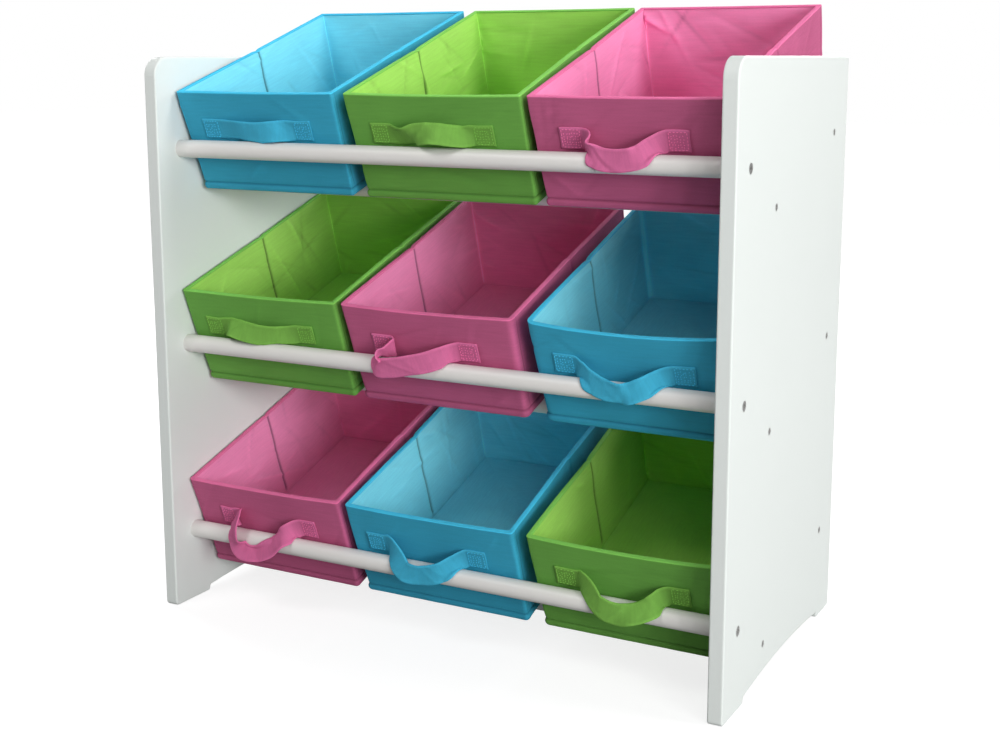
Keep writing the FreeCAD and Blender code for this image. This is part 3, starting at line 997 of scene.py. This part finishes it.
# The edges of the left and of the right sewn end across, then stations between them: the middle of
# the strap across, out from and up the wall, in mm, and the way its width points on the same axes
STRAPS = {
    ("top", "left"): ((-73, -51), (44, 65), [
        (-28, 4, 73, 0.1, 0.1, 1), (-7, 9, 73, 0.25, -0.1, 1), (8, 11, 74, 0.3, -0.3, 1),
        (22, 10, 75, 0.2, -0.5, 1), (33, 5, 74, 0.1, -0.5, 1)]),
    ("top", "centre"): ((-73, -52), (43, 65), [
        (-42, 3, 72, 0.1, 0.25, 1), (-25, 9, 75, 0.2, 0.5, 0.9), (-8, 16, 80, 0.3, -0.3, 1),
        (9, 18, 82, 0.4, -0.9, 0.9), (22, 13, 78, 0.1, -0.8, 0.8), (33, 6, 74, -0.3, -0.6, 1)]),
    ("top", "right"): ((-70, -47), (36, 58), [
        (-40, 6, 72, 0.4, 0.1, 1), (-36, 15, 67, -0.3, -0.3, 1), (-27, 20, 63, -0.25, -0.4, 0.9),
        (-12, 22, 61, 0, -0.3, 1), (8, 22, 63, 0.1, -0.2, 1), (16, 19, 65, 0, -0.5, 0.9),
        (25, 11, 69, -0.1, -0.4, 1)]),
    ("middle", "left"): ((-76, -54), (44, 64), [
        (-46, 3, 75, 0.1, -0.4, 0.9), (-37, 8, 78, 0.1, -0.8, 0.55), (-19, 11, 76, 0.15, -0.65, 0.75),
        (2, 11, 73, 0.1, -0.4, 0.9), (22, 8, 72, 0.05, -0.2, 1), (36, 3, 72, 0, -0.1, 1)]),
    ("middle", "centre"): ((-66, -44), (34, 56), [
        (-38, 6, 72, 0, -0.2, 1), (-43, 14, 71, 0.6, -0.1, 0.8), (-52, 19, 66, 0.9, -0.1, 0.7),
        (-52, 25, 60, 0.2, -0.2, 1), (-36, 26, 61, 0, -0.15, 1), (-14, 24, 65, -0.1, -0.15, 1),
        (6, 21, 69, -0.2, -0.2, 1), (20, 14, 72, 0, -0.3, 1)]),
    ("middle", "right"): ((-74, -51), (48, 70), [
        (-44, 6, 70, 0.15, -0.25, 1), (-31, 15, 66, 0, -0.45, 0.9), (-14, 21, 62, 0.1, -0.35, 0.9),
        (2, 23, 61, 0.1, -0.1, 1), (10, 23, 62, -0.2, -0.45, 0.9), (24, 19, 67, -0.3, -0.3, 0.9),
        (38, 8, 71, -0.2, -0.35, 1)]),
    ("bottom", "left"): ((-64, -45), (44, 62), [
        (-38, 8, 78, 0.7, 0.5, 0.5), (-34, 22, 72, 0.8, 0.45, 0.45), (-34, 27, 59, 0.9, 0.3, 0.3),
        (-26, 27, 49, 0.5, -0.6, 0.6), (-8, 26, 48, -0.3, -0.8, 0.5), (10, 24, 55, -0.45, -0.7, 0.55),
        (27, 17, 68, -0.1, -0.8, 0.6), (37, 5, 72, 0, -0.3, 1)]),
    ("bottom", "centre"): ((-78, -56), (41, 63), [
        (-49, 4, 74, 0.2, -0.1, 1), (-37, 15, 70, 0.5, -0.4, 0.8), (-23, 25, 61, 0.75, -0.35, 0.6),
        (-4, 25, 60, 0.5, -0.25, 0.8), (16, 22, 64, 0.25, -0.35, 0.9), (31, 11, 69, 0, -0.4, 1)]),
    ("bottom", "right"): ((-72, -49), (48, 68), [
        (-41, 6, 75, 0.3, -0.1, 1), (-30, 15, 73, 0.45, -0.25, 0.9), (-18, 24, 65, 0.15, -0.4, 0.95),
        (0, 27, 61, 0.35, -0.45, 0.85), (18, 26, 64, 0.2, -0.75, 0.6), (34, 19, 69, -0.1, -0.75, 0.7),
        (42, 6, 72, -0.1, -0.4, 1)]),
}


def strap_stations(row, column):
    """Give all stations of a strap: its left sewn end, the slack part and its right sewn end."""
    left_end, right_end, slack_part = STRAPS[row, column]
    left_sewn = [(across, SEWN_OUT, SEWN_UP, 0, 0, 1) for across in left_end]
    right_sewn = [(across, SEWN_OUT, SEWN_UP, 0, 0, 1) for across in right_end]
    return np.array([*left_sewn, *slack_part, *right_sewn], float)


for row_name, column_name in STRAPS:
    reach_out = strap_stations(row_name, column_name)[:, 1].max()
    print(row_name, column_name, "strap hangs out by", reach_out, "mm")

# %% [markdown]
# ## A smooth way through the stations
#
# Between two stations the strap follows a cubic whose slopes at both ends come
# from the neighbouring stations. The steps between stations count by the square
# root of their length, which keeps a tight turn beside a long stretch from
# overshooting. The same curve carries the middle and the width's direction.

# %% A spline, and the way from the front wall to the bin
STRAP_RINGS = 150


def spline(stations, samples):
    """Run a smooth curve through stations: a cubic between each two, sloped by their neighbours."""
    gaps = np.sqrt(np.linalg.norm(np.diff(stations[:, :3], axis=0), axis=1))
    knots = np.concatenate([[0.0], np.cumsum(gaps)])
    slopes = np.gradient(stations, knots, axis=0)
    places = np.linspace(0, knots[-1], samples)
    index = np.clip(np.searchsorted(knots, places, "right") - 1, 0, gaps.size - 1)
    width = gaps[index][:, None]
    share = (places - knots[index])[:, None] / width
    before, after = stations[index], stations[index + 1]
    cube = share ** 3
    square = share ** 2
    return ((2 * cube - 3 * square + 1) * before + (cube - 2 * square + share) * width * slopes[index]
            + (3 * square - 2 * cube) * after + (cube - square) * width * slopes[index + 1])


def from_wall(points):
    """Take points from across, out from and up the front wall into the bin's frame."""
    across, out, up = np.moveaxis(points, -1, 0)
    return np.stack([across, -up * math.sin(FRONT_LEAN) - out * math.cos(FRONT_LEAN),
                     up * math.cos(FRONT_LEAN) - out * math.sin(FRONT_LEAN)], -1)


for row_name, column_name in STRAPS:
    way = spline(strap_stations(row_name, column_name), STRAP_RINGS)[:, :3]
    print(row_name, column_name, "strap is", round(run_lengths(way, False)[-1]), "mm long")

# %% [markdown]
# ## Lying on the rod
#
# A strap that falls over the front rod lies on it. Rather than placing stations
# by hand to the millimetre, every point that would come too near to the rod's
# axis is pushed straight out from it, which wraps the strap round the rod.

# %% Keep a strap off the rod
ROD_CLEARANCE = 0.35


def rod_in_bin(row, column):
    """Give the front rod's axis, along and above the floor of the bin, and its radius, in mm."""
    low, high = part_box(f"{row}_front_rod")
    origin = bin_origin(row, column)
    back = ((low.y + high.y) / 2 - origin[1]) / MM
    up = ((low.z + high.z) / 2 - origin[2]) / MM
    along = back * math.cos(ROW_TILT) + up * math.sin(ROW_TILT)
    above = up * math.cos(ROW_TILT) - back * math.sin(ROW_TILT)
    return along, above, (high.z - low.z) / 2 / MM


def keep_off_rod(points, row, column):
    """Push points that are nearer to the rod's axis than the strap can lie straight out from it."""
    along, above, radius = rod_in_bin(row, column)
    from_y = points[..., 1] - along
    from_z = points[..., 2] - above
    distance = np.hypot(from_y, from_z)
    least = radius + STRAP_HALF + ROD_CLEARANCE
    factor = np.where(distance < least, least / np.maximum(distance, 1e-6), 1.0)
    return np.stack([points[..., 0], along + from_y * factor, above + from_z * factor], -1)


print("the rod runs at", *np.round(rod_in_bin("top", "left")[:2], 1), "mm in a bin's frame")

# %% [markdown]
# ## A strap as a surface
#
# The surface is the middle of the strap plus the width's direction times the
# distance from the middle. Webbing that has been packed flat keeps a few sharp
# slanting creases in its slack part. They are added square to the surface, and
# nothing may sink into the wall.

# %% The strap's middle surface
STRAP_CREASES = 9
STRAP_POINTS = 15
SLACK_BETWEEN = (1.5, 8)


def strap_creases(along, across, start, end, seed):
    """Add sharp slanting ridges, each falling off evenly to both sides, between start and end."""
    draw = np.random.default_rng(seed)
    evenly = np.linspace(start, end, STRAP_CREASES + 2)[1:-1]
    centre = evenly + draw.uniform(-4, 4, STRAP_CREASES)
    slant = draw.choice([-1, 1], STRAP_CREASES) * draw.uniform(0.5, 1.1, STRAP_CREASES)
    aside = (along[..., None] - centre) * np.cos(slant) - across[..., None] * np.sin(slant)
    height = draw.uniform(-1, 1, STRAP_CREASES)
    return (height * np.exp(-np.abs(aside) / draw.uniform(2, 5, STRAP_CREASES))).sum(-1)


def strap_surface(row, column):
    """Give the strap's middle surface, the places across it, and how slack each ring is."""
    line = spline(strap_stations(row, column), STRAP_RINGS)
    middle, width = line[:, :3], line[:, 3:]
    tangent = np.gradient(middle, axis=0)
    tangent /= np.linalg.norm(tangent, axis=1, keepdims=True)
    width -= (width * tangent).sum(1, keepdims=True) * tangent
    width /= np.linalg.norm(width, axis=1, keepdims=True)
    facing = np.cross(tangent, width)
    reach = np.linspace(-STRAP_WIDTH / 2, STRAP_WIDTH / 2, STRAP_POINTS)
    onward = run_lengths(middle, False)
    slack = smooth_step(middle[:, 1], *SLACK_BETWEEN)
    loose = onward[slack > 0]
    along, across = np.broadcast_arrays(onward[:, None], reach)
    raised = slack[:, None] * strap_creases(along, across, loose[0], loose[-1], seed_of(row, column, 4))
    surface = middle[:, None] + width[:, None] * reach[:, None] + facing[:, None] * raised[..., None]
    surface[..., 1] = np.maximum(surface[..., 1], STRAP_HALF + 0.1)
    surface = settle(from_wall(surface), FORMS[row, column])
    return keep_off_rod(surface, row, column), reach, slack


print("a strap's surface is", *strap_surface("top", "left")[0].shape[:2], "points")

# %% [markdown]
# ## Nine straps
#
# The surface is thickened both ways along its own normal, which a cross product
# of its two directions gives. The webbing's edges are hemmed: a little fuller
# and lighter than the middle. The sewn ends are pressed flat and a shade darker.

# %% Make the straps
HEM_FULLER = 0.4
STRAP_THIN = 0.75
EDGE_THICKNESS = 0.35
HEM_LIGHTER = 0.25
SEWN_DARKER = 0.14


def make_strap(row, column):
    """Give the strap's mesh: its middle surface thickened both ways, with fuller hemmed edges."""
    surface, reach, slack = strap_surface(row, column)
    facing = np.cross(np.gradient(surface, axis=0), np.gradient(surface, axis=1))
    facing /= np.linalg.norm(facing, axis=-1, keepdims=True)
    edge = np.abs(reach) / (STRAP_WIDTH / 2)
    thick = STRAP_HALF * (STRAP_THIN + HEM_FULLER * smooth_step(edge, 0.6, 0.85))
    thick *= np.where(edge > 0.99, EDGE_THICKNESS, 1)
    offset = facing * thick[:, None]
    ring = np.concatenate([surface + offset, (surface - offset)[:, ::-1]], 1)
    lengths = (run_lengths(ring[0], True), run_lengths(surface[:, STRAP_POINTS // 2], False))
    both_faces = np.concatenate([edge, edge[::-1]])
    shading_tone = HEM_LIGHTER * smooth_step(both_faces, 0.75, 1.0) - SEWN_DARKER * (1 - slack[:, None])
    return tube_mesh("strap", into_rack(ring, row, column)[None], lengths, shading_tone)


for bin_name, row_name, column_name, shade_name in BINS:
    strap = add_piece(f"{bin_name}_strap", make_strap(row_name, column_name),
                      fabrics[shade_name, "strap"], bin_name, [f"{bin_name}_handle"])
print("nine straps, each", len(strap.data.polygons), "faces")

# %% [markdown]
# ## Stitches
#
# The strap's ends are held by a square of stitches, and small tack stitches fill
# the square. A stitch is a short piece of thread whose ends dive into the cloth,
# so one small bent tube is made once as an array, and added to every place on
# the seams at a stroke.

# %% One stitch, and where stitches go
STITCH_LENGTH = 2.6
STITCH_PITCH = 3.6
THREAD_RADIUS = 0.4
TACK_LENGTH = 1.3
TACK_PITCH = 2.8
TACK_JITTER = 0.7


def stitch_tubes(places, onward, outward, length):
    """Copy a bent tube to each place: it starts and ends under the cloth and rises between."""
    along = np.linspace(-0.5, 0.5, 5)
    rise = THREAD_RADIUS * np.array([-1.2, 0.5, 0.8, 0.5, -1.2])
    thick = THREAD_RADIUS * np.array([0.5, 1.0, 1.0, 1.0, 0.5])
    turn = np.radians(np.arange(0, 360, 72))
    aside = np.cross(onward, outward)
    centre = (places[:, None] + onward[:, None] * along[:, None] * length[:, None, None]
              + outward[:, None] * rise[:, None])
    spread = (aside[:, None, None] * np.cos(turn)[:, None] + outward[:, None, None] * np.sin(turn)[:, None])
    return centre[:, :, None] + spread * thick[:, None, None]


def seam_square(left, right, low, high):
    """Space stitches round a rectangle on the wall: places and directions, across and up."""
    corners = np.array([(left, low), (right, low), (right, high), (left, high), (left, low)], float)
    places, onward = [], []
    for start, end in zip(corners[:-1], corners[1:]):
        length = np.linalg.norm(end - start)
        count = int(round(length / STITCH_PITCH))
        share = (np.arange(count) + 0.5)[:, None] / count
        places.append(start + (end - start) * share)
        onward.append(np.repeat((end - start)[None] / length, count, 0))
    return np.concatenate(places), np.concatenate(onward)


def quilting(left, right, low, high, seed):
    """Scatter tack stitches over the inside of a rectangle: a jittered grid, each turned anyhow."""
    draw = np.random.default_rng(seed)
    across, up = np.meshgrid(np.arange(left, right, TACK_PITCH), np.arange(low, high, TACK_PITCH))
    places = np.stack([across.ravel(), up.ravel()], 1)
    angle = draw.uniform(0, math.pi, len(places))
    jitter = draw.uniform(-TACK_JITTER, TACK_JITTER, places.shape)
    return places + jitter, np.stack([np.cos(angle), np.sin(angle)], 1)


square_places, _ = seam_square(0, STRAP_WIDTH, 0, STRAP_WIDTH)
print("a square as wide as the strap takes", len(square_places), "stitches")

# %% [markdown]
# ## Sewing the ends
#
# The squares lie a little inside the strap's edges. They are worked out flat on
# the wall, across and up, and then go the same way as the strap: into the bin's
# frame, with the wall as it has bowed, and into the rack.

# %% Sew the seams
SEAM_INSET = 2.2
TACK_FIRST = 2.5
TACK_LAST = 1.5


def make_stitches(row, column):
    """Give the mesh of the stitches on the strap's sewn ends: a square, and tacks inside it."""
    low = SEWN_UP - STRAP_WIDTH / 2 + SEAM_INSET
    high = SEWN_UP + STRAP_WIDTH / 2 - SEAM_INSET
    seams = []
    for outer, inner in STRAPS[row, column][:2]:
        left, right = outer + SEAM_INSET, inner - SEAM_INSET
        tacks = quilting(left + TACK_FIRST, right - TACK_LAST, low + TACK_FIRST, high - TACK_LAST,
                         seed_of(row, column, 5))
        seams.append((*seam_square(left, right, low, high), STITCH_LENGTH))
        seams.append((*tacks, TACK_LENGTH))
    places = np.concatenate([seam[0] for seam in seams])
    onward = np.concatenate([seam[1] for seam in seams])
    length = np.concatenate([np.full(len(seam[0]), seam[2]) for seam in seams])
    out = np.full((len(places), 1), 2 * STRAP_HALF + 0.1)
    zero = np.zeros_like(out)
    flat_places = np.hstack([places[:, :1], out, places[:, 1:]])
    flat_onward = np.hstack([onward[:, :1], zero, onward[:, 1:]])
    straight_out = np.repeat([[0.0, 1.0, 0.0]], len(places), 0)
    tubes = stitch_tubes(flat_places, flat_onward, straight_out, length)
    tubes = settle(from_wall(tubes), FORMS[row, column])
    return tube_mesh("stitches", into_rack(tubes, row, column))


for bin_name, row_name, column_name, shade_name in BINS:
    seam = add_piece(f"{bin_name}_strap_stitches", make_stitches(row_name, column_name),
                     fabrics[shade_name, "thread"], bin_name, [])
print("eighteen squares of stitches, the last two with", len(seam.data.polygons), "faces")

# %% [markdown]
# ## The floor
#
# The organizer stands on a plain white floor. Lighting that floor to white would
# burn out the organizer too. So the floor glows for the camera alone: that makes
# the open background white, keeps the object's shadow, and adds no light to the
# object. The glow grows with the distance, to fade the shadow's edge.

# %% Lay the floor
FLOOR_HALF_SIZE = 12.0
FLOOR_GREY = (0.35, 0.35, 0.35, 1)
BLACK = (0, 0, 0, 1)
WHITE = (1, 1, 1, 1)
GLOW = {"From Min": 0.5, "From Max": 1.8, "To Min": 0.80, "To Max": 1.0}


def stage_floor():
    """Lay a large square just under the feet, lifted towards white where the camera looks at it."""
    half = FLOOR_HALF_SIZE
    corners = [(-half, -half, 0), (half, -half, 0), (half, half, 0), (-half, half, 0)]
    mesh = bpy.data.meshes.new("floor")
    mesh.from_pydata(corners, [], [(0, 1, 2, 3)])
    finish = Finish("floor_white", Roughness=1.0, Specular_IOR_Level=0.0, Base_Color=FLOOR_GREY,
                    Emission_Strength=1.0)
    distance = finish.node("ShaderNodeVectorMath", {"operation": "LENGTH"},
                           {0: finish.coordinates(ON_OBJECT)}, "Value")
    glow = finish.node("ShaderNodeMapRange", {"interpolation_type": "SMOOTHSTEP"},
                       {"Value": distance, **GLOW})
    seen = finish.node("ShaderNodeLightPath", {}, {}, "Is Camera Ray")
    finish.feed("Emission Color", finish.mix(glow * seen, BLACK, WHITE))
    mesh.materials.append(finish.material)
    floor = bpy.data.objects.new("floor", mesh)
    bpy.context.scene.collection.objects.link(floor)


stage_floor()
print("the floor is", 2 * FLOOR_HALF_SIZE, "m wide")

# %% [markdown]
# ## The surroundings
#
# A studio's white walls fill the shadows a little. The camera sees them plain
# white, and reflections show a part of that, so that paint and metal have
# something pale to mirror. For all other rays they are only a faint fill, because
# strong light from everywhere would flatten the bins' inner walls.

# %% Surround it with white
FILL = 0.05
REFLECTED_SHARE = 0.35


def white_surroundings():
    """Set the surroundings' strength to seen + (1 - seen) * fill.

    Seen is 1 for the camera's rays and for rays through something clear, and the
    reflected share for rays that a surface mirrors.
    """
    world = bpy.data.worlds.new("surroundings")
    bpy.context.scene.world = world
    world.use_nodes = True
    studio = Wiring(world.node_tree)
    camera, through, mirrored = (studio.node("ShaderNodeLightPath", {}, {}, f"Is {kind} Ray")
                                 for kind in ("Camera", "Transmission", "Glossy"))
    seen = camera.larger(through).larger(mirrored * REFLECTED_SHARE)
    strength = seen + (1 - seen) * FILL
    background = studio.tree.nodes["Background"]
    background.inputs["Color"].default_value = WHITE
    studio.tree.links.new(strength.socket, background.inputs["Strength"])
    return len(studio.tree.nodes)


print("the surroundings take", white_surroundings(), "nodes")

# %% [markdown]
# ## The lamps
#
# Five soft lamps stand where the photograph's light comes from. It was found by
# comparing the shades of panels, rods and inner walls with renders under one
# lamp at a time. The four on the right light the open bins and the right panel,
# from far enough away to light it evenly. Two more stand behind the organizer,
# for views from there.

# %% Hang the lamps
AIM = np.array((0, 0, 0.3))
LAMPS = {  # degrees from the front towards the right, degrees up, metres away, size in metres, watts
    "left": (-30, 45, 2.0, 0.6, 10),
    "side": (100, 45, 3.5, 1.05, 46),
    "front": (36, 23, 3.5, 1.05, 15),
    "low": (50, 8, 3.5, 1.05, 30),
    "right": (62, 10, 3.5, 1.05, 46),
    "far_left": (-110, 25, 2.4, 1.0, 30),
    "back": (170, 30, 2.4, 1.0, 30),
}


def soft_lamp(name, bearing, rise, away, size, power):
    """Hang a square lamp in a direction from the aim, and turn it to the aim."""
    back = np.array((math.cos(rise) * math.sin(bearing), -math.cos(rise) * math.cos(bearing),
                     math.sin(rise)))
    side = np.cross((0, 0, 1), back)
    side /= np.linalg.norm(side)
    turn = Matrix((side, np.cross(back, side), back)).transposed()
    data = bpy.data.lights.new(name, "AREA")
    data.size = size
    data.energy = power
    lamp = bpy.data.objects.new(name, data)
    lamp.matrix_world = Matrix.Translation(AIM + away * back) @ turn.to_4x4()
    lamp.visible_camera = False
    bpy.context.scene.collection.objects.link(lamp)


for lamp_name, (bearing, rise, *rest) in LAMPS.items():
    soft_lamp(lamp_name, math.radians(bearing), math.radians(rise), *rest)
print(len(LAMPS), "lamps of", sum(lamp[-1] for lamp in LAMPS.values()), "watts together")

# %% [markdown]
# ## The camera
#
# The camera stands to the right of the organizer, at the height of its upper
# edge, and looks a little down. Its place and angles were worked out from the
# corners of panels and rods in the photograph. That also gave the focal length
# in pixels, from which the lens follows.

# %% Set the camera
CAMERA_PLACE = (0.730, -1.3505, 0.598)
CAMERA_TURN = math.radians(28.24)
CAMERA_DIP = math.radians(10.03)
CAMERA_ROLL = math.radians(-0.08)
FOCAL_PIXELS = 1451
IMAGE_WIDTH = 1000
SENSOR_WIDTH = 36.0
CAMERA_SHIFT = -0.06


def aim_camera():
    """Turn the camera from looking along +Y: left by the turn, down by the dip, then roll."""
    data = bpy.data.cameras.new("camera")
    data.sensor_width = SENSOR_WIDTH
    data.lens = FOCAL_PIXELS * SENSOR_WIDTH / IMAGE_WIDTH
    data.shift_y = CAMERA_SHIFT
    camera = bpy.data.objects.new("camera", data)
    bpy.context.scene.collection.objects.link(camera)
    turn = (Matrix.Rotation(CAMERA_TURN, 4, "Z") @ Matrix.Rotation(math.pi / 2 - CAMERA_DIP, 4, "X")
            @ Matrix.Rotation(CAMERA_ROLL, 4, "Z"))
    camera.matrix_world = Matrix.Translation(CAMERA_PLACE) @ turn
    bpy.context.scene.camera = camera
    return data.lens


print("lens", round(aim_camera(), 2), "mm")
bpy.context.scene.view_settings.view_transform = "Standard"

# %% [markdown]
